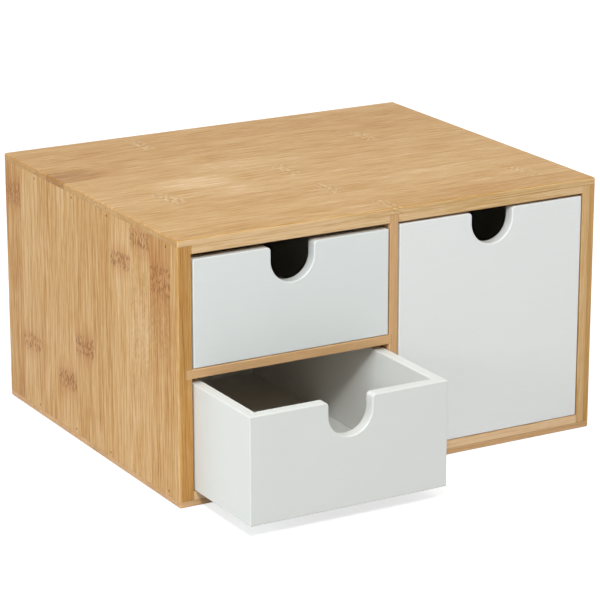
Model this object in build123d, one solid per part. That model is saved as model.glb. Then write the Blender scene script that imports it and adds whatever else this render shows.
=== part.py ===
"""Desktop mini drawers.

A bamboo case with a centre divider and a shelf holds three painted drawers. Each drawer is a
box of five boards with a finger notch in its front. Sizes are millimetres, +X is to the right
seen from the front, +Y to the back and +Z up. The origin is the centre of the case's underside.
"""

import os

from build123d import *

# Bays: two low ones, one above the other, on the left and a tall one on the right.
left_bay_width = 114.5
right_bay_width = 114.5
lower_bay_height = 59.5
upper_bay_height = 59.5
case_depth = 205.0

# Case boards and their joints.
board = 8.0  # top, bottom and side panels
partition = 5.0  # divider and shelf
lap = 3.5  # outer layer of the top and bottom, which covers the ends of the sides
side_dado = 3.6  # how deep the shelf sits in the left side panel
divider_dado = 1.5  # how deep the shelf sits in the divider
arris_radius = 1.0  # rounding of the case's outer edges
bay_arris = 0.4  # bevel round the mouth of each bay

# Back panel, a thin board that floats in a groove all round.
back_thickness = 4.0
back_inset = 3.0  # from the rear edges of the case
back_groove = 2.5
groove_slack = 0.1  # beside each face of a floating board
edge_slack = 0.5  # between a floating board's edge and the bottom of its groove

# Brads, driven through the sides into the inner layers of the top and bottom.
brad_width = 1.0  # along the panel's edge
brad_height = 1.25
brad_length = 20.0
brad_recess = 0.6  # below the face of the side panel
brad_clearance = 0.05
brad_front_inset = 12.0
brad_rear_inset = 39.0
brad_run_shares = (0.0, 0.43, 0.7, 1.0)  # places along the run, uneven because set by hand

# Drawers in their bays.
side_gap = 0.75
floor_gap = 0.3
low_headroom = 2.7
tall_headroom = 1.2
rear_gap = 0.5
lower_drawer_opening = 57.4  # the lower drawer stands open

# Drawer boards and their joints.
front_thickness = 6.5
rear_thickness = 6.0
wall = 6.0
end_rebate = 3.0  # how deep the side walls sit in the front and the back
bottom_thickness = 3.0
bottom_rise = 3.0  # of the bottom above the lower edges of the walls
bottom_groove = 2.5
paint_radius = 0.6  # rounding of the painted edges outside
mouth_bevel = 0.5  # bevel of the upper edges inside the drawer

# Finger notch: a half round, a straight throat and a rounded lip.
notch_width = 25.0
notch_lip = 2.0
low_notch_throat = 5.0
tall_notch_throat = 3.5

# Places that follow from the sizes above.
case_width = 2 * board + left_bay_width + partition + right_bay_width
case_height = 2 * board + lower_bay_height + partition + upper_bay_height
left_face = -case_width / 2
left_wall = left_face + board
divider_left = left_wall + left_bay_width
divider_right = divider_left + partition
right_wall = divider_right + right_bay_width
right_face = right_wall + board
floor = board
shelf_under = floor + lower_bay_height
shelf_top = shelf_under + partition
ceiling = shelf_top + upper_bay_height
front_face = -case_depth / 2
rear_face = case_depth / 2
back_rear = rear_face - back_inset
back_front = back_rear - back_thickness
drawer_length = back_front - rear_gap - front_face
inner_layer = board - lap
upper_brad_height = ceiling + inner_layer / 2
lower_brad_height = floor - inner_layer / 2


def block(x, y, z):
    """Box that fills three ranges, each given as (low, high)."""
    sizes = [high - low for low, high in (x, y, z)]
    corner = Pos(x[0], y[0], z[0])
    return corner * Box(*sizes, align=(Align.MIN, Align.MIN, Align.MIN))


def edges_at(solid, axis, place):
    """Edges whose middle has this value along the axis."""
    return solid.edges().filter_by_position(axis, place, place)


# ---- Case ----


def brad_row(clearance, depth, length, height):
    """Bars along X at the brad places, from a depth below the left face."""
    run = case_depth - brad_front_inset - brad_rear_inset
    first = front_face + brad_front_inset
    bar = Box(length, brad_width + 2 * clearance, brad_height + 2 * clearance)
    middle = left_face + depth + length / 2
    return [Pos(middle, first + share * run, height) * bar for share in brad_run_shares]


def brad_holes(height):
    """Holes for one row of brads, open at the left face."""
    length = brad_recess + brad_length + brad_clearance
    return brad_row(brad_clearance, 0, length, height)


def back_slot():
    """Groove for the back panel, all round the inside of the case."""
    x = (left_wall - back_groove, right_wall + back_groove)
    y = (back_front - groove_slack, back_rear + groove_slack)
    return block(x, y, (floor - back_groove, ceiling + back_groove))


def bay_mouths():
    """Cutters for the bevels round the mouths of the three bays, mitred at their corners."""
    left, right = (left_wall, divider_left), (divider_right, right_wall)
    bays = [(left, (floor, shelf_under)), (left, (shelf_top, ceiling)), (right, (floor, ceiling))]
    cutters = []
    for x, z in bays:
        mouth = Rectangle(x[1] - x[0] + 2 * bay_arris, z[1] - z[0] + 2 * bay_arris)
        plane = Plane(origin=(sum(x) / 2, front_face, sum(z) / 2), x_dir=(1, 0, 0), z_dir=(0, 1, 0))
        cutters.append(extrude(plane * mouth, bay_arris, taper=45))
    return cutters


def top_panel():
    """Board whose outer layer laps over the sides, with a dado for the divider."""
    y = (front_face, rear_face)
    outer = block((left_face, right_face), y, (ceiling + inner_layer, ceiling + board))
    arrises = edges_at(outer, Axis.Z, ceiling + board) + outer.edges().filter_by(Axis.Z)
    outer = fillet(arrises, arris_radius)
    inner = block((left_wall, right_wall), y, (ceiling, ceiling + inner_layer))
    left_holes = brad_holes(upper_brad_height)
    right_holes = [mirror(hole, about=Plane.YZ) for hole in left_holes]
    joints = [plain_divider(), back_slot()] + left_holes + right_holes
    return outer + inner - joints - bay_mouths()


def bottom_panel():
    """The top panel turned over."""
    return mirror(top_panel(), about=Plane.XY.offset(case_height / 2))


def plain_side():
    """Left side before the dado for the shelf is cut."""
    panel = block((left_face, left_wall), (front_face, rear_face), (lap, case_height - lap))
    arrises = edges_at(panel, Axis.X, left_face).filter_by(Axis.Z)
    panel = fillet(arrises, arris_radius)
    return panel - back_slot() - brad_holes(upper_brad_height) - brad_holes(lower_brad_height)


def left_side_panel():
    """Left side, which takes one end of the shelf."""
    return plain_side() - plain_shelf() - bay_mouths()


def right_side_panel():
    """Right side, which has no shelf."""
    return mirror(plain_side(), about=Plane.YZ) - bay_mouths()


def plain_shelf():
    """Shelf before its front edge is bevelled, with each end reaching into its dado."""
    x = (left_wall - side_dado, divider_left + divider_dado)
    return block(x, (front_face, back_front), (shelf_under, shelf_top))


def shelf():
    """Board between the left side and the divider."""
    return plain_shelf() - bay_mouths()


def plain_divider():
    """Divider before its dado is cut, reaching through the inner layers of the top and bottom."""
    x = (divider_left, divider_right)
    return block(x, (front_face, back_front), (lap, case_height - lap))


def centre_divider():
    """Board between the left and right bays, which takes the other end of the shelf."""
    return plain_divider() - plain_shelf() - bay_mouths()


def back_panel():
    """Thin board in the groove all round."""
    reach = back_groove - edge_slack
    x = (left_wall - reach, right_wall + reach)
    return block(x, (back_front, back_rear), (floor - reach, ceiling + reach))


def left_side_brads():
    """Both rows of brads in the left side."""
    heights = (upper_brad_height, lower_brad_height)
    rows = [brad_row(0, brad_recess, brad_length, height) for height in heights]
    return Compound(rows[0] + rows[1])


def right_side_brads():
    """Both rows of brads in the right side."""
    return mirror(left_side_brads(), about=Plane.YZ)


def case_parts():
    """The boards and brads of the case by name."""
    return {
        "top_panel": top_panel(),
        "bottom_panel": bottom_panel(),
        "left_side_panel": left_side_panel(),
        "right_side_panel": right_side_panel(),
        "centre_divider": centre_divider(),
        "shelf": shelf(),
        "back_panel": back_panel(),
        "left_side_brads": left_side_brads(),
        "right_side_brads": right_side_brads(),
    }


# ---- Drawers ----
# A drawer is drawn with its origin in the middle of the lower edge of its front's outside.


def plain_outline(width, height):
    """Back of a drawer, seen from the front."""
    return Rectangle(width, height, align=(Align.CENTER, Align.MIN))


def notched_outline(width, height, throat):
    """Front of a drawer, with the finger notch in its top edge."""
    centre = Pos(0, height - notch_lip - throat)
    half_round = centre * Circle(notch_width / 2)
    slot = centre * Rectangle(notch_width, height, align=(Align.CENTER, Align.MIN))
    outline = plain_outline(width, height) - half_round - slot
    top_corners = outline.vertices().group_by(Axis.Y)[-1].sort_by(Axis.X)
    return fillet(top_corners[1:-1], notch_lip)


def end_board(outline, height, thickness):
    """Front or back of a drawer before its joints are cut, with its outside at Y = 0."""
    solid = extrude(Plane.XZ * outline, -thickness)
    ends = solid.edges().filter_by(Axis.Y).filter_by_position(Axis.Z, height, height)
    return fillet(edges_at(solid, Axis.Y, 0) + ends, paint_radius)


def wall_blocks(width, height):
    """Left and right walls of a drawer before their edges are rounded."""
    y = (front_thickness - end_rebate, drawer_length - rear_thickness + end_rebate)
    left = block((-width / 2, wall - width / 2), y, (0, height))
    return [left, mirror(left, about=Plane.YZ)]


def bottom_slot(width):
    """Groove for the bottom, all round the inside of a drawer."""
    reach = width / 2 - wall + bottom_groove
    y = (front_thickness - bottom_groove, drawer_length - rear_thickness + bottom_groove)
    z = (bottom_rise - groove_slack, bottom_rise + bottom_thickness + groove_slack)
    return block((-reach, reach), y, z)


def bottom_board(width):
    """Thin board that floats in the groove."""
    tongue = bottom_groove - edge_slack
    reach = width / 2 - wall + tongue
    y = (front_thickness - tongue, drawer_length - rear_thickness + tongue)
    return block((-reach, reach), y, (bottom_rise, bottom_rise + bottom_thickness))


def fitted(end, walls, slot, inside, height):
    """End board with rebates for the walls, the groove and a bevelled mouth, its inner face at Y = inside."""
    end = end - walls - slot
    mouth = edges_at(end, Axis.Y, inside).filter_by_position(Axis.Z, height, height)
    return chamfer(mouth, mouth_bevel)


def drawer_boards(width, height, throat):
    """The five boards of one drawer by name."""
    walls = wall_blocks(width, height)
    slot = bottom_slot(width)
    left, right = [fillet(side.edges().filter_by(Axis.Y), paint_radius) - slot for side in walls]
    front = end_board(notched_outline(width, height, throat), height, front_thickness)
    back = end_board(plain_outline(width, height), height, rear_thickness)
    back = Pos(0, drawer_length, 0) * Rot(0, 0, 180) * back
    return {
        "front": fitted(front, walls, slot, front_thickness, height),
        "left_side": left,
        "right_side": right,
        "back": fitted(back, walls, slot, drawer_length - rear_thickness, height),
        "bottom": bottom_board(width),
    }


def drawer_parts(name, bay_x, bay_z, headroom, throat, opening):
    """The boards of the drawer in one bay, by name and in place."""
    width = bay_x[1] - bay_x[0] - 2 * side_gap
    height = bay_z[1] - bay_z[0] - floor_gap - headroom
    place = Pos((bay_x[0] + bay_x[1]) / 2, front_face - opening, bay_z[0] + floor_gap)
    boards = drawer_boards(width, height, throat)
    return {f"{name}_drawer_{part}": place * shape for part, shape in boards.items()}


def all_parts():
    """Every part of the object by name."""
    left, right = (left_wall, divider_left), (divider_right, right_wall)
    low, high, whole = (floor, shelf_under), (shelf_top, ceiling), (floor, ceiling)
    parts = case_parts()
    parts |= drawer_parts("upper", left, high, low_headroom, low_notch_throat, 0)
    parts |= drawer_parts("lower", left, low, low_headroom, low_notch_throat, lower_drawer_opening)
    parts |= drawer_parts("tall", right, whole, tall_headroom, tall_notch_throat, 0)
    return parts


os.makedirs("parts", exist_ok=True)
for node, shape in all_parts().items():
    export_step(shape, f"parts/{node}.step")
print(f"case {case_width:g} x {case_depth:g} x {case_height:g} mm, drawers {drawer_length:g} mm long")
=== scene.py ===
"""Desktop mini drawers: bamboo and painted-board looks, soft studio light and a camera."""

import math
from collections import namedtuple
from dataclasses import dataclass

import bpy
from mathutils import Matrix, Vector

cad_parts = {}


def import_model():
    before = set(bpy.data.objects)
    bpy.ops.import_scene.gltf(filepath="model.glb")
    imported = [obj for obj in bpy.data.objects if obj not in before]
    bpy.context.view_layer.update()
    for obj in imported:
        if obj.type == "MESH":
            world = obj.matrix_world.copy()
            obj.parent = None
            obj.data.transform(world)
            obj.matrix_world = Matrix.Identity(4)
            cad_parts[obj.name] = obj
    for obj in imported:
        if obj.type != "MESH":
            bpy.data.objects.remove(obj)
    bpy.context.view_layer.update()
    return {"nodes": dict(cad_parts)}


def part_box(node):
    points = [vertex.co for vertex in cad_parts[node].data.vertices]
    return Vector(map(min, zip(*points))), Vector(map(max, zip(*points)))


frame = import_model()
nodes = frame["nodes"]

# Materials measure the object in millimetres, and the scene is in metres.
MM = 0.001
X, Y, Z = 0, 1, 2

# Camera: where it stands round the object, and what it looks at.
CAMERA_AZIMUTH = -29.83
CAMERA_ELEVATION = 17.0
CAMERA_DISTANCE = 1.5505
CAMERA_TARGET = Vector((0.0032, 0.0, 0.0633))
CAMERA_LENS = 170.0
CAMERA_SENSOR = 36.0

# Light that reaches the object from all round, beside the lamps.
WORLD_LIGHT = 0.22


class Graph:
    """Short ways to build the nodes of one material, or of the world."""

    # How far a normal points along an axis where the surface turns from slanted to square.
    SLANTED, SQUARE = 0.6, 0.9

    def __init__(self, owner, output):
        self.owner = owner
        owner.use_nodes = True
        self.tree = owner.node_tree
        self.tree.nodes.clear()
        self.output = self.add(output)

    def feed(self, socket, value):
        """Links or sets one input."""
        if isinstance(value, bpy.types.NodeSocket):
            self.tree.links.new(value, socket)
        else:
            socket.default_value = value

    def add(self, kind, inputs=None, **settings):
        """A node with its settings, and its inputs by name or number."""
        node = self.tree.nodes.new(kind)
        for key, value in settings.items():
            setattr(node, key, value)
        for key, value in (inputs or {}).items():
            self.feed(node.inputs[key], value)
        return node

    def math(self, operation, *values):
        """A Math node's result."""
        node = self.add("ShaderNodeMath", dict(enumerate(values)), operation=operation)
        return node.outputs[0]

    def plus(self, *values):
        """The sum of several values."""
        total = values[0]
        for value in values[1:]:
            total = self.math("ADD", total, value)
        return total

    def times(self, *values):
        """The product of several values."""
        product = values[0]
        for value in values[1:]:
            product = self.math("MULTIPLY", product, value)
        return product

    def minus(self, a, b):
        """The difference of two values."""
        return self.math("SUBTRACT", a, b)

    def largest(self, a, b):
        """The larger of two values."""
        return self.math("MAXIMUM", a, b)

    def gap(self, a, b):
        """How far apart two values are."""
        return self.math("ABSOLUTE", self.minus(a, b))

    def combine(self, x, y, z):
        """A vector from three values."""
        return self.add("ShaderNodeCombineXYZ", {0: x, 1: y, 2: z}).outputs[0]

    def noise(self, vector, scale=1.0, detail=2.0, roughness=0.5):
        """Noise from -0.5 to 0.5."""
        inputs = {"Vector": vector, "Scale": scale, "Detail": detail, "Roughness": roughness}
        return self.minus(self.add("ShaderNodeTexNoise", inputs).outputs[0], 0.5)

    def cells(self, vector):
        """Distance to the middle of the nearest of many scattered cells."""
        return self.add("ShaderNodeTexVoronoi", {"Vector": vector, "Scale": 1.0}).outputs["Distance"]

    def random_pair(self, value):
        """Two random values from 0 to 1 for each whole number."""
        noise = self.add("ShaderNodeTexWhiteNoise", {"W": value}, noise_dimensions="1D")
        split = self.add("ShaderNodeSeparateColor", {0: noise.outputs["Color"]})
        return split.outputs[0], split.outputs[1]

    def fade(self, value, low, high, start=0.0, end=1.0):
        """Goes smoothly from start to end as value goes from low to high."""
        inputs = {0: value, 1: low, 2: high, 3: start, 4: end}
        return self.add("ShaderNodeMapRange", inputs, interpolation_type="SMOOTHSTEP").outputs[0]

    def line(self, distance, full, gone, strength=1.0):
        """A soft line, at its full strength up to one distance and gone at another."""
        return self.fade(distance, full, gone, strength, 0.0)

    def mix(self, factor, a, b):
        """Two colours mixed. The node has sockets for each kind of value, and those for colours are
        inputs 6 and 7 and output 2."""
        inputs = {0: factor, 6: a, 7: b}
        return self.add("ShaderNodeMix", inputs, data_type="RGBA", clamp_factor=True).outputs[2]

    def ramp(self, factor, stops, interpolation="LINEAR"):
        """A colour from a list of (place, colour) stops."""
        node = self.add("ShaderNodeValToRGB", {0: factor})
        ramp = node.color_ramp
        ramp.interpolation = interpolation
        while len(ramp.elements) < len(stops):
            ramp.elements.new(1.0)
        for element, (place, colour) in zip(ramp.elements, stops):
            element.position = place
            element.color = colour
        return node.outputs[0]

    def place(self):
        """The place on the object along each axis, in millimetres."""
        coordinates = self.add("ShaderNodeTexCoord")
        inputs = {0: coordinates.outputs["Object"], "Scale": 1 / MM}
        place = self.add("ShaderNodeVectorMath", inputs, operation="SCALE")
        return list(self.add("ShaderNodeSeparateXYZ", {0: place.outputs[0]}).outputs)

    def squarely(self):
        """How squarely the surface faces each axis, from 0 to 1."""
        coordinates = self.add("ShaderNodeTexCoord")
        normal = self.add("ShaderNodeSeparateXYZ", {0: coordinates.outputs["Normal"]})
        sides = [self.math("ABSOLUTE", part) for part in normal.outputs]
        return [self.fade(side, self.SLANTED, self.SQUARE) for side in sides]

    def seen(self):
        """1 for what the camera sees, straight or in a reflection or through glass, and else 0."""
        rays = self.add("ShaderNodeLightPath").outputs
        straight_or_reflected = self.largest(rays["Is Camera Ray"], rays["Is Glossy Ray"])
        return self.largest(straight_or_reflected, rays["Is Transmission Ray"])

    def end(self, shader):
        """Leads the last shader to the output."""
        self.feed(self.output.inputs["Surface"], shader.outputs[0])

    def surface(self, colour, roughness, height, depth, **fixed):
        """Ends a material in one Principled shader, with a bump as deep as depth, in metres."""
        bump = self.add("ShaderNodeBump", {"Height": height, "Strength": 1.0, "Distance": depth})
        linked = {"Base Color": colour, "Roughness": roughness, "Normal": bump.outputs[0]}
        self.end(self.add("ShaderNodeBsdfPrincipled", {**linked, **fixed}))
        return self.owner


def material_graph(name):
    """The nodes of a new material."""
    return Graph(bpy.data.materials.new(name), "ShaderNodeOutputMaterial")


def rgba(red, green, blue):
    """A display colour, 0 to 255, as a shader colour, by the standard sRGB curve."""

    def linear(part):
        part /= 255
        return part / 12.92 if part <= 0.04045 else ((part + 0.055) / 1.055) ** 2.4

    return linear(red), linear(green), linear(blue), 1.0


# ---- Bamboo: its colours ----


def palette(*colours):
    """The colours of a board's fibres, from the palest to the darkest."""
    return tuple(rgba(*colour) for colour in colours)


WARM_BAMBOO = palette((218, 181, 134), (208, 169, 117), (196, 152, 91), (180, 127, 62), (138, 84, 30))
YELLOW_BAMBOO = palette((221, 186, 142), (202, 164, 110), (190, 147, 86), (174, 125, 58), (136, 86, 28))
PINK_BAMBOO = palette((228, 194, 152), (217, 175, 131), (204, 162, 114), (186, 140, 92), (150, 104, 58))
TONES = (0.0, 0.18, 0.42, 0.72, 1.0)  # where a palette's colours lie on its ramp
MEAN_TONE = TONES[2]

DARK = rgba(140, 90, 36)  # seams, glue and painted shade at joints, the dark part of a pale growth ring
RUSSET = rgba(182, 122, 54)  # long streaks
GLOW = rgba(172, 110, 48)  # round a growth ring
FLECK = rgba(140, 86, 16)  # in a growth ring
PALE_FLECK = rgba(224, 192, 140)  # in a pale growth ring
END_GRAIN = rgba(172, 124, 68)

# ---- Bamboo: its sizes in millimetres, and how strong each mark is ----

STRIP = 22.1  # width of one strip
STRIP_COUNT = 10  # on a board as deep as the case, with the cut ones at its edges
WHOLE = 0.1  # strip numbers this near are the same
PLY = 3.5  # thickness of a board's outer layer
RUN_SHIFT = 700.0  # the most that one strip's pattern is moved along it
RANDOM_TONE = 0.3  # spread of tone among the strips of a board that lists no tones

# Kinds of fibre noise: waves in a millimetre across the fibres, how many times longer they are
# along them, and how much they count. The first two bend the fibres, so they count in millimetres.
Fibres = namedtuple("Fibres", "fineness stretch weight detail roughness", defaults=(2.0, 0.5))
SWAY = Fibres(0.03, 3.75, 1.4)
WEAVE = Fibres(0.5, 5.0, 0.2)
CLOUDS = Fibres(0.09, 6.0, 0.4)
BANDS = Fibres(0.25, 40.0, 0.3)
LINES = Fibres(0.9, 70.0, 0.42, roughness=0.7)
HAIRS = Fibres(1.9, 45.0, 1.5, detail=1.0)
LENSES = Fibres(1.5, 9.0, 0.5, detail=1.0)
STREAKS = Fibres(0.8, 60.0, 0.2, detail=1.0)
STREAK_EDGES = (0.08, 0.3)  # the noise at which a streak starts, and at which it is full
EDGE_CALM = 0.45  # how much weaker the noise is on a board's edges

# Growth rings. Their lengths along the fibres are shares of a ring's own half length.
RING_BOW = 0.35
RING_SLANT = 0.3
RING_FADE = (0.5, 1.1)
GLOW_FADE = (0.3, 2.6)
FLECKS_ACROSS, FLECKS_ALONG = 0.95, 0.4  # waves in a millimetre
FLECK_EDGES = (-0.03, 0.09)  # the noise at which a fleck starts, and at which it is full
FLECK_STRENGTH, GLOW_STRENGTH = 0.9, 0.45
PALE_FLECK_STRENGTH, PALE_DARK_STRENGTH = 0.8, 0.35

# End grain is a little darker, and darker still in its pores.
PORES = 1.3  # cells in a millimetre
PORE_SIZE = (0.2, 0.45)
END_TONE, PORE_TONE = 0.2, 0.3

# Glue with painted joint shade: full up to the first distance, gone at the second, and how strong.
JOINT_LINE = (0.08, 0.3, 1.0)
PLY_LINE = (0.05, 0.28, 0.7)
END_LINE = (0.1, 0.4, 0.8)
GLUE_AND_SHADE_STRENGTH = 0.6

# Other lines.
PLY_BLUR = 0.1  # to each side of where the plies meet
SEAM_FROM, SEAM_STRENGTH = 0.488, 0.25  # a seam starts this share of a strip from its middle
ARRIS_LINE = (0.4, 1.6)  # where a pale highlight is painted on the arrises
FAR = 100.0  # further than any line reaches

# Lacquer.
HAIR_RANGE = (-0.2, 0.2)
SATIN = (0.36, 0.5)  # roughness over that range
SPECULAR = 0.25
RELIEF = 0.03 * MM  # depth of the bump
HAIR_RELIEF, RING_RELIEF, JOINT_LINE_RELIEF = 0.6, -0.3, -1.0  # beside 1 for the lines

Ring = namedtuple("Ring", "strip place half_length strength")
Patch = namedtuple("Patch", "strip place half_length tone")


@dataclass
class Board:
    """How one bamboo board is laid up, in millimetres: its fibres run along one axis, and its
    strips lie side by side across another. Tones go from 0, pale, to 1, dark, with 0.5 in the
    middle. Edge tones and patches are added to them."""

    node: str
    along: int
    across: int
    first_strip: float  # width left of the strip at the low edge, which has number -1
    seed: float
    palette: tuple = WARM_BAMBOO
    tones: tuple = ()  # of each strip, from number -1 on, or none for random ones
    contrast: float = 1.0
    rings: tuple = ()
    pale_rings: bool = False
    patches: tuple = ()
    outer_side: int = 0  # of a two-ply board: 1 if its outer ply is on the high side, -1 if low
    rim: tuple = ()  # axes across which the outer face's rounded arrises lie
    # How much paler the painted highlight on the rounded arrises makes the board.
    arris_highlight_strength: float = 0.18
    edge_tones: tuple = (0.1, 0.1)  # of the outer and the inner ply; a single ply has the second
    joints: tuple = ()  # (axis, place) of the joints that its edges show

    def __post_init__(self):
        self.low, self.high = [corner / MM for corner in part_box(self.node)]
        self.through = X + Y + Z - self.along - self.across
        self.first_seam = self.low[self.across] + self.first_strip
        self.face = (self.high if self.outer_side > 0 else self.low)[self.through]
        self.ply_seam = self.face - self.outer_side * PLY


class Grain:
    """A board's strips and fibres, as values in the nodes of its material. A place on the board is
    a along its fibres, c across its strips and t through it."""

    def __init__(self, graph, board):
        self.graph = graph
        self.board = board
        self.place = graph.place()
        self.a, self.c, self.t = [self.place[axis] for axis in (board.along, board.across, board.through)]
        squarely = graph.squarely()
        self.on_end = squarely[board.along]
        self.on_edge = squarely[board.across]
        self.on_face = squarely[board.through]
        self.calmer = graph.minus(board.contrast, graph.times(self.on_edge, EDGE_CALM * board.contrast))
        self.outer = self.outer_ply()

        strip_place = graph.math("DIVIDE", graph.minus(self.c, board.first_seam), STRIP)
        self.strip = graph.math("FLOOR", strip_place)
        self.u = graph.minus(graph.math("FRACT", strip_place), 0.5)  # across the strip, from its middle
        self.random_tone, shift = graph.random_pair(graph.plus(self.strip, board.seed + 0.5))
        self.run = graph.plus(graph.times(shift, RUN_SHIFT), self.a)

        bends = [graph.times(self.fibres(kind, self.c), kind.weight) for kind in (SWAY, WEAVE)]
        self.bent = graph.plus(self.c, *bends)
        kinds = (CLOUDS, BANDS, LINES, HAIRS, LENSES)
        self.texture = {kind: self.fibres(kind, self.bent) for kind in kinds}

    def fibres(self, kind, across):
        """Noise of one kind, drawn out along the fibres."""
        x = self.graph.times(across, kind.fineness)
        y = self.graph.times(self.t, kind.fineness)
        z = self.graph.times(self.run, kind.fineness / kind.stretch)
        return self.graph.noise(self.graph.combine(x, y, z), detail=kind.detail, roughness=kind.roughness)

    def outer_ply(self):
        """1 in the outer ply and 0 in the inner one, or in a board of a single ply."""
        if not self.board.outer_side:
            return 0.0
        depth = self.graph.gap(self.t, self.board.face)
        return self.graph.line(depth, PLY - PLY_BLUR, PLY + PLY_BLUR)

    def on_strip(self, number):
        """1 on one strip."""
        return self.graph.math("COMPARE", self.strip, float(number), WHOLE)


def strip_tone(grain):
    """Each strip's own tone, as the board lists it or at random, less the middle tone."""
    graph, tones = grain.graph, grain.board.tones
    if not tones:
        return graph.times(graph.minus(grain.random_tone, 0.5), RANDOM_TONE)
    stops = [(index / len(tones), (tone, tone, tone, 1.0)) for index, tone in enumerate(tones)]
    # The first stop is strip -1, and half a step more is the middle of a stop.
    place = graph.math("DIVIDE", graph.plus(grain.strip, 1.5), float(len(tones)))
    return graph.minus(graph.ramp(place, stops, "CONSTANT"), 0.5)


def patch_tone(grain):
    """Darker or paler stretches of single strips."""
    graph, total = grain.graph, 0.0
    for patch in grain.board.patches:
        near = graph.line(graph.gap(grain.a, patch.place), 0.0, patch.half_length, patch.tone)
        total = graph.plus(total, graph.times(grain.on_strip(patch.strip), near))
    return total


def edge_tone(grain):
    """How much darker or paler the board is on its edges, ply by ply."""
    graph = grain.graph
    outer_tone, inner_tone = grain.board.edge_tones
    tone = graph.plus(graph.times(grain.outer, outer_tone - inner_tone), inner_tone)
    return graph.times(tone, grain.on_edge)


def painted_arris_highlight(grain):
    """1 on the rounded arrises round the outer face, where a pale highlight is painted."""
    graph, board = grain.graph, grain.board
    if not board.outer_side:
        return 0.0
    nearest = FAR
    for axis in board.rim:
        for edge in (board.low[axis], board.high[axis]):
            nearest = graph.math("MINIMUM", nearest, graph.gap(grain.place[axis], edge))
    return graph.line(graph.plus(nearest, graph.gap(grain.t, board.face)), *ARRIS_LINE)


def fibre_colour(grain):
    """The colour of the fibres, strip by strip."""
    graph, board = grain.graph, grain.board
    texture = graph.plus(*[graph.times(noise, kind.weight) for kind, noise in grain.texture.items()])
    level = graph.plus(MEAN_TONE, strip_tone(grain), patch_tone(grain), graph.times(texture, grain.calmer))
    # The rounded arrises get a painted highlight, a paler tone.
    level = graph.plus(level, edge_tone(grain), graph.times(painted_arris_highlight(grain), -board.arris_highlight_strength))
    colour = graph.ramp(level, list(zip(TONES, board.palette)))

    streaks = graph.fade(grain.fibres(STREAKS, grain.bent), *STREAK_EDGES)
    colour = graph.mix(graph.times(streaks, grain.calmer, STREAKS.weight), colour, RUSSET)
    seam = graph.fade(graph.math("ABSOLUTE", grain.u), SEAM_FROM, 0.5, 0.0, SEAM_STRENGTH)
    return graph.mix(graph.times(seam, grain.on_face), colour, DARK)


def ring_bands(grain):
    """Where growth rings are, and the glow round them."""
    graph, band, glow = grain.graph, 0.0, 0.0
    for ring in grain.board.rings:
        here = graph.times(grain.on_strip(ring.strip), ring.strength)
        bow = graph.times(graph.math("POWER", grain.u, 2.0), RING_BOW * ring.half_length)
        slant = graph.times(grain.u, RING_SLANT * ring.half_length)
        distance = graph.gap(graph.plus(grain.a, bow, slant), ring.place)
        near = graph.line(distance, *[share * ring.half_length for share in RING_FADE])
        round_it = graph.line(distance, *[share * ring.half_length for share in GLOW_FADE])
        band = graph.largest(band, graph.times(here, near))
        glow = graph.largest(glow, graph.times(here, here, round_it))
    return band, glow


def growth_rings(grain, colour):
    """Bands of short flecks where a leaf grew, each on one strip, with a warm glow round it."""
    graph, board = grain.graph, grain.board
    if not board.rings:
        return colour, 0.0
    x = graph.times(grain.bent, FLECKS_ACROSS)
    y = graph.times(grain.t, FLECKS_ACROSS)
    z = graph.times(grain.a, FLECKS_ALONG)
    flecks = graph.fade(graph.noise(graph.combine(x, y, z), detail=1.0), *FLECK_EDGES)
    band, glow = ring_bands(grain)
    if board.pale_rings:
        between = graph.times(band, graph.minus(1.0, flecks), PALE_DARK_STRENGTH)
        colour = graph.mix(between, colour, DARK)
        return graph.mix(graph.times(band, flecks, PALE_FLECK_STRENGTH), colour, PALE_FLECK), band
    colour = graph.mix(graph.times(glow, GLOW_STRENGTH), colour, GLOW)
    return graph.mix(graph.times(band, flecks, FLECK_STRENGTH), colour, FLECK), band


def end_grain(grain, colour):
    """The cut ends of the fibres, darker in their pores."""
    graph = grain.graph
    place = [graph.times(value, PORES) for value in (grain.c, grain.t, grain.a)]
    pores = graph.cells(graph.combine(*place))
    tone = graph.plus(END_TONE, graph.line(pores, *PORE_SIZE, PORE_TONE))
    return graph.mix(graph.times(grain.on_end, tone), colour, END_GRAIN)


def glue_and_shade_lines(grain):
    """Glue and painted shade in the joints, between the plies and at the ends of the board."""
    graph, board = grain.graph, grain.board
    not_outer = graph.minus(1.0, grain.outer)
    total = 0.0
    for axis, joint in board.joints:
        line = graph.line(graph.gap(grain.place[axis], joint), *JOINT_LINE)
        total = graph.largest(total, graph.times(line, not_outer))
    if board.outer_side:
        line = graph.line(graph.gap(grain.t, board.ply_seam), *PLY_LINE)
        total = graph.largest(total, graph.times(line, graph.largest(grain.on_edge, grain.on_end)))
    for end in (board.low[board.along], board.high[board.along]):
        line = graph.line(graph.gap(grain.a, end), *END_LINE)
        total = graph.largest(total, graph.times(line, not_outer))
    return total


def bamboo(name, board):
    """Pressed bamboo strips under satin lacquer."""
    graph = material_graph(name)
    grain = Grain(graph, board)
    colour, rings = growth_rings(grain, fibre_colour(grain))
    glue_and_shade = glue_and_shade_lines(grain)
    # Glue lines, and painted shade where boards meet, darken the joints.
    colour = graph.mix(graph.times(glue_and_shade, GLUE_AND_SHADE_STRENGTH), end_grain(grain, colour), DARK)

    hairs = grain.texture[HAIRS]
    roughness = graph.fade(hairs, *HAIR_RANGE, *SATIN)
    hair_height = graph.times(hairs, HAIR_RELIEF)
    ring_height = graph.times(rings, RING_RELIEF)
    joint_line_height = graph.times(glue_and_shade, JOINT_LINE_RELIEF)
    height = graph.plus(hair_height, grain.texture[LINES], ring_height, joint_line_height)
    return graph.surface(colour, roughness, height, RELIEF, **{"Specular IOR Level": SPECULAR})


# ---- Bamboo: its boards ----


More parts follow.
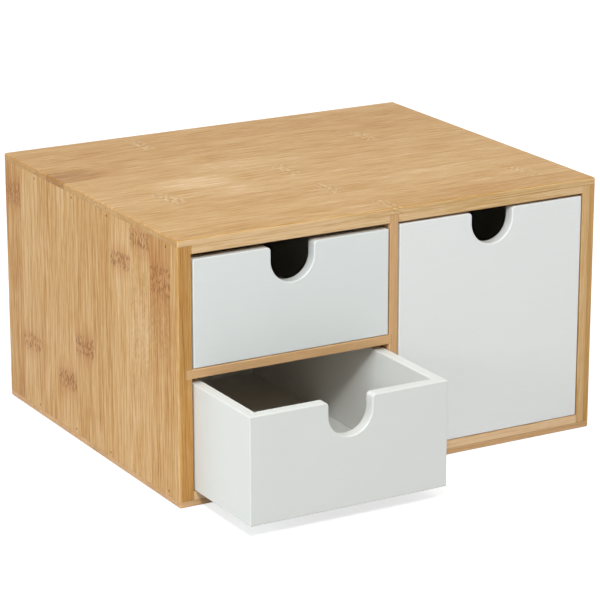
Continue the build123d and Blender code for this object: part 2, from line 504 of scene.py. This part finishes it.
def left_side():
    """The side that the camera sees: its strips, from the front, and its growth rings."""
    return Board(
        "left_side_panel",
        along=Z,
        across=Y,
        first_strip=7.7,
        seed=3.0,
        tones=(0.58, 0.6, 0.42, 0.43, 0.58, 0.54, 0.45, 0.54, 0.44, 0.64),
        rings=(
            Ring(0, 115.0, 10.0, 1.0),
            Ring(0, 94.0, 24.0, 0.3),
            Ring(1, 131.0, 5.5, 0.95),
            Ring(1, 90.0, 45.0, 0.2),
            Ring(2, 114.5, 5.0, 0.9),
            Ring(4, 56.0, 6.5, 1.0),
            Ring(5, 31.0, 6.0, 1.0),
            Ring(7, 40.0, 5.5, 0.85),
            Ring(8, 120.0, 8.0, 0.8),
        ),
        patches=(
            Patch(9, 112.0, 30.0, 0.15),
            Patch(8, 120.0, 22.0, 0.15),
            Patch(5, 90.0, 60.0, 0.08),
        ),
        outer_side=-1,
        rim=(Y,),
        edge_tones=(0.12, 0.1),
    )


def right_side():
    """The other side, with the same lay-up and rings of its own."""
    return Board(
        "right_side_panel",
        along=Z,
        across=Y,
        first_strip=13.0,
        seed=17.0,
        tones=(0.46, 0.4, 0.56, 0.5, 0.43, 0.6, 0.47, 0.52, 0.41, 0.57),
        rings=(
            Ring(1, 44.0, 6.0, 0.9),
            Ring(3, 96.0, 5.0, 0.8),
            Ring(4, 71.0, 5.0, 0.7),
            Ring(7, 108.0, 6.0, 0.9),
        ),
        outer_side=1,
        rim=(Y,),
        edge_tones=(0.12, -0.17),
    )


def top():
    """The paler board on top, with faint rings."""
    return Board(
        "top_panel",
        along=X,
        across=Y,
        first_strip=18.0,
        seed=31.0,
        palette=YELLOW_BAMBOO,
        tones=(0.52, 0.46, 0.5, 0.44, 0.46, 0.5, 0.52, 0.56, 0.58, 0.54),
        contrast=0.9,
        rings=(
            Ring(-1, 1.0, 4.0, 0.6),
            Ring(0, 100.0, 5.0, 0.7),
            Ring(1, -9.0, 5.0, 0.7),
            Ring(2, -91.0, 5.5, 0.9),
            Ring(3, -9.0, 5.0, 0.7),
            Ring(5, 66.0, 4.5, 0.7),
            Ring(7, -52.0, 4.5, 0.7),
        ),
        pale_rings=True,
        patches=(
            Patch(5, -125.0, 55.0, 0.4),
            Patch(3, -66.0, 34.0, -0.25),
            Patch(2, -52.0, 30.0, -0.15),
            Patch(4, -30.0, 50.0, -0.15),
            Patch(-1, 60.0, 60.0, 0.15),
            Patch(1, 60.0, 70.0, -0.15),
        ),
        outer_side=1,
        rim=(X, Y),
        arris_highlight_strength=0.0,
        edge_tones=(-0.36, -0.42),
        joints=case_joints(),
    )


def bottom():
    """The board underneath."""
    return Board(
        "bottom_panel",
        along=X,
        across=Y,
        first_strip=16.0,
        seed=47.0,
        palette=PINK_BAMBOO,
        tones=(0.46, 0.55, 0.42, 0.5, 0.58, 0.44, 0.5, 0.4, 0.53, 0.47),
        rings=(Ring(0, -70.0, 5.0, 0.8), Ring(3, 24.0, 5.0, 0.8), Ring(6, -31.0, 5.0, 0.7)),
        outer_side=-1,
        rim=(X, Y),
        edge_tones=(0.02, -0.4),
        joints=case_joints(),
    )


def case_joints():
    """Where the upright boards meet the inner layers of the top and bottom."""
    left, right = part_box("left_side_panel")[1].x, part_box("right_side_panel")[0].x
    divider = [corner.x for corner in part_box("centre_divider")]
    return tuple((X, place / MM) for place in (left, right, *divider))


def partition(node, along, seed):
    """The divider or the shelf, one layer thick and of one even tone."""
    return Board(
        node,
        along=along,
        across=Y,
        first_strip=11.0,
        seed=seed,
        palette=PINK_BAMBOO,
        tones=(0.4,) * STRIP_COUNT,
        contrast=0.6,
    )


def back():
    """Thin board behind the drawers."""
    rings = (Ring(1, 60.0, 5.0, 0.8), Ring(3, -48.0, 5.0, 0.7))
    return Board("back_panel", along=X, across=Z, first_strip=9.0, seed=83.0, rings=rings)


# ---- Paint and steel ----

SATIN_PAINT = 0.42  # roughness of the paint on the drawers
THIN_PAINT = 0.55  # and on their thin bottoms
PAINT_SHADE = 0.965  # the paint's darkest clouds, as a share of its colour
CLOUD_WAVES = 0.03  # in a millimetre
PEEL_WAVES = 0.9
GRAIN_WAVES = (0.04, 0.3, 1.0)  # along X, Y and Z
CLOUD_WEIGHT, GRAIN_WEIGHT = 0.8, 0.8  # in the paint's shade
GLOSSIER, DULLER = 0.05, 0.07  # how far the peel moves the roughness
PEEL_RANGE = (-0.2, 0.2)
GRAIN_RELIEF = 0.6  # beside 1 for the peel
PEEL_RELIEF = 0.015 * MM  # depth of the bump

BROWNED, BARE = rgba(92, 84, 76), rgba(120, 116, 112)
SPOT_WAVES = 2.0
SPOT_RANGE = (0.3, 0.7)
STEEL_ROUGHNESS = (0.35, 0.55)  # over that range
STEEL_RELIEF = 0.01 * MM


def paint(name, colour, roughness):
    """Satin paint rolled on board: a fine orange peel, faint clouds and the grain showing through."""
    graph = material_graph(name)
    axes = graph.place()
    place = graph.combine(*axes)
    grain_place = graph.combine(*[graph.times(value, waves) for value, waves in zip(axes, GRAIN_WAVES)])
    clouds = graph.noise(place, CLOUD_WAVES, detail=3.0)
    peel = graph.noise(place, PEEL_WAVES, detail=3.0, roughness=0.6)
    grain = graph.noise(grain_place, detail=3.0)
    shade = graph.plus(0.5, graph.times(clouds, CLOUD_WEIGHT), graph.times(grain, GRAIN_WEIGHT))
    darker = [part * PAINT_SHADE for part in colour[:3]] + [1.0]
    tint = graph.mix(shade, darker, colour)
    gloss = graph.fade(peel, *PEEL_RANGE, roughness - GLOSSIER, roughness + DULLER)
    height = graph.plus(peel, graph.times(grain, GRAIN_RELIEF))
    return graph.surface(tint, gloss, height, PEEL_RELIEF)


def steel(name):
    """Drawn steel of the brads, dull and a little browned."""
    graph = material_graph(name)
    noise = graph.noise(graph.combine(*graph.place()), SPOT_WAVES, detail=4.0)
    spots = graph.plus(0.5, noise)
    colour = graph.ramp(spots, list(zip(SPOT_RANGE, (BROWNED, BARE))))
    roughness = graph.fade(spots, *SPOT_RANGE, *STEEL_ROUGHNESS)
    return graph.surface(colour, roughness, spots, STEEL_RELIEF, Metallic=1.0)


# ---- Materials on the boards ----


def dress():
    """Gives every board its material."""
    brads = steel("brad_steel")
    by_node = {
        "left_side_panel": bamboo("bamboo_side", left_side()),
        "right_side_panel": bamboo("bamboo_far_side", right_side()),
        "top_panel": bamboo("bamboo_top", top()),
        "bottom_panel": bamboo("bamboo_bottom", bottom()),
        "centre_divider": bamboo("bamboo_divider", partition("centre_divider", Z, 59.0)),
        "shelf": bamboo("bamboo_shelf", partition("shelf", X, 71.0)),
        "back_panel": bamboo("bamboo_back", back()),
        "left_side_brads": brads,
        "right_side_brads": brads,
    }
    # One white in three lighter and darker copies, as painted light and shade: the tall drawer's lighter
    # and the lower drawer's darker, to set how bright each front looks.
    shaded_whites = {
        "upper": paint("white_paint_upper", rgba(223, 226, 224), SATIN_PAINT),
        "lower": paint("white_paint_lower", rgba(220, 221, 217), SATIN_PAINT),
        "tall": paint("white_paint_tall", rgba(232, 233, 231), SATIN_PAINT),
    }
    inside = paint("white_paint_thin", rgba(220, 222, 219), THIN_PAINT)
    for name, node in nodes.items():
        painted = inside if name.endswith("_bottom") else shaded_whites.get(name.split("_")[0])
        node.data.materials[0] = by_node.get(name, painted)


# ---- Studio ----

FLOOR_HALF = 6.0
FLOOR_COLOUR = (0.55, 0.55, 0.55, 1.0)
FLOOR_GLOW = 0.68
WHITE = (1.0, 1.0, 1.0, 1.0)


def ground():
    """White floor that keeps the object's shadow and looks white to the camera."""
    graph = material_graph("studio_floor")
    diffuse = graph.add("ShaderNodeBsdfDiffuse", {"Color": FLOOR_COLOUR})
    glow = graph.add("ShaderNodeEmission", {"Strength": graph.times(graph.seen(), FLOOR_GLOW)})
    graph.end(graph.add("ShaderNodeAddShader", {0: diffuse.outputs[0], 1: glow.outputs[0]}))

    mesh = bpy.data.meshes.new("ground")
    signs = ((-1, -1), (1, -1), (1, 1), (-1, 1))
    corners = [(x * FLOOR_HALF, y * FLOOR_HALF, 0) for x, y in signs]
    mesh.from_pydata(corners, [], [(0, 1, 2, 3)])
    mesh.materials.append(graph.owner)
    floor = bpy.data.objects.new("ground", mesh)
    bpy.context.scene.collection.objects.link(floor)


def world():
    """Even light from all round, which looks white to the camera and in reflections."""
    graph = Graph(bpy.data.worlds.new("studio"), "ShaderNodeOutputWorld")
    strength = graph.fade(graph.seen(), 0.0, 1.0, WORLD_LIGHT, 1.0)
    graph.end(graph.add("ShaderNodeBackground", {"Color": WHITE, "Strength": strength}))
    bpy.context.scene.world = graph.owner


def lamp(name, place, size, watts, colour):
    """A soft box that points at the object."""
    light = bpy.data.lights.new(name, "AREA")
    light.size = size
    light.energy = watts
    light.color = colour
    piece = bpy.data.objects.new(name, light)
    piece.location = Vector(place)
    piece.rotation_mode = "QUATERNION"
    piece.rotation_quaternion = (CAMERA_TARGET - piece.location).to_track_quat("-Z", "Y")
    piece.visible_camera = False
    bpy.context.scene.collection.objects.link(piece)


def lamps():
    """The main light from the front left, a low one from the left, a broad one above, and weak
    ones from the right and behind."""
    lamp("key_box", place=(-0.79, -1.49, 1.48), size=0.3, watts=26.0, colour=(0.98, 1.0, 1.0))
    lamp("left_box", place=(-2.18, -0.46, 0.63), size=0.6, watts=19.5, colour=(0.9, 0.965, 1.0))
    lamp("top_box", place=(-0.2, -0.3, 2.4), size=2.2, watts=23.0, colour=(1.0, 1.0, 0.99))
    lamp("right_box", place=(2.1, -0.2, 1.3), size=1.2, watts=6.0, colour=(1.0, 1.0, 1.0))
    lamp("back_box", place=(-0.9, 2.0, 1.5), size=1.2, watts=6.0, colour=(1.0, 1.0, 1.0))


def camera():
    """The camera at the photograph's viewing angle."""
    azimuth, elevation = math.radians(CAMERA_AZIMUTH), math.radians(CAMERA_ELEVATION)
    level = math.cos(elevation)
    towards_camera = Vector((math.sin(azimuth) * level, -math.cos(azimuth) * level, math.sin(elevation)))
    view = bpy.data.cameras.new("camera")
    view.lens = CAMERA_LENS
    view.sensor_width = CAMERA_SENSOR
    piece = bpy.data.objects.new("camera", view)
    piece.location = CAMERA_TARGET + towards_camera * CAMERA_DISTANCE
    piece.rotation_mode = "QUATERNION"
    piece.rotation_quaternion = (-towards_camera).to_track_quat("-Z", "Y")
    bpy.context.scene.collection.objects.link(piece)
    bpy.context.scene.camera = piece


dress()
ground()
world()
lamps()
camera()
bpy.context.scene.view_settings.view_transform = "Standard"
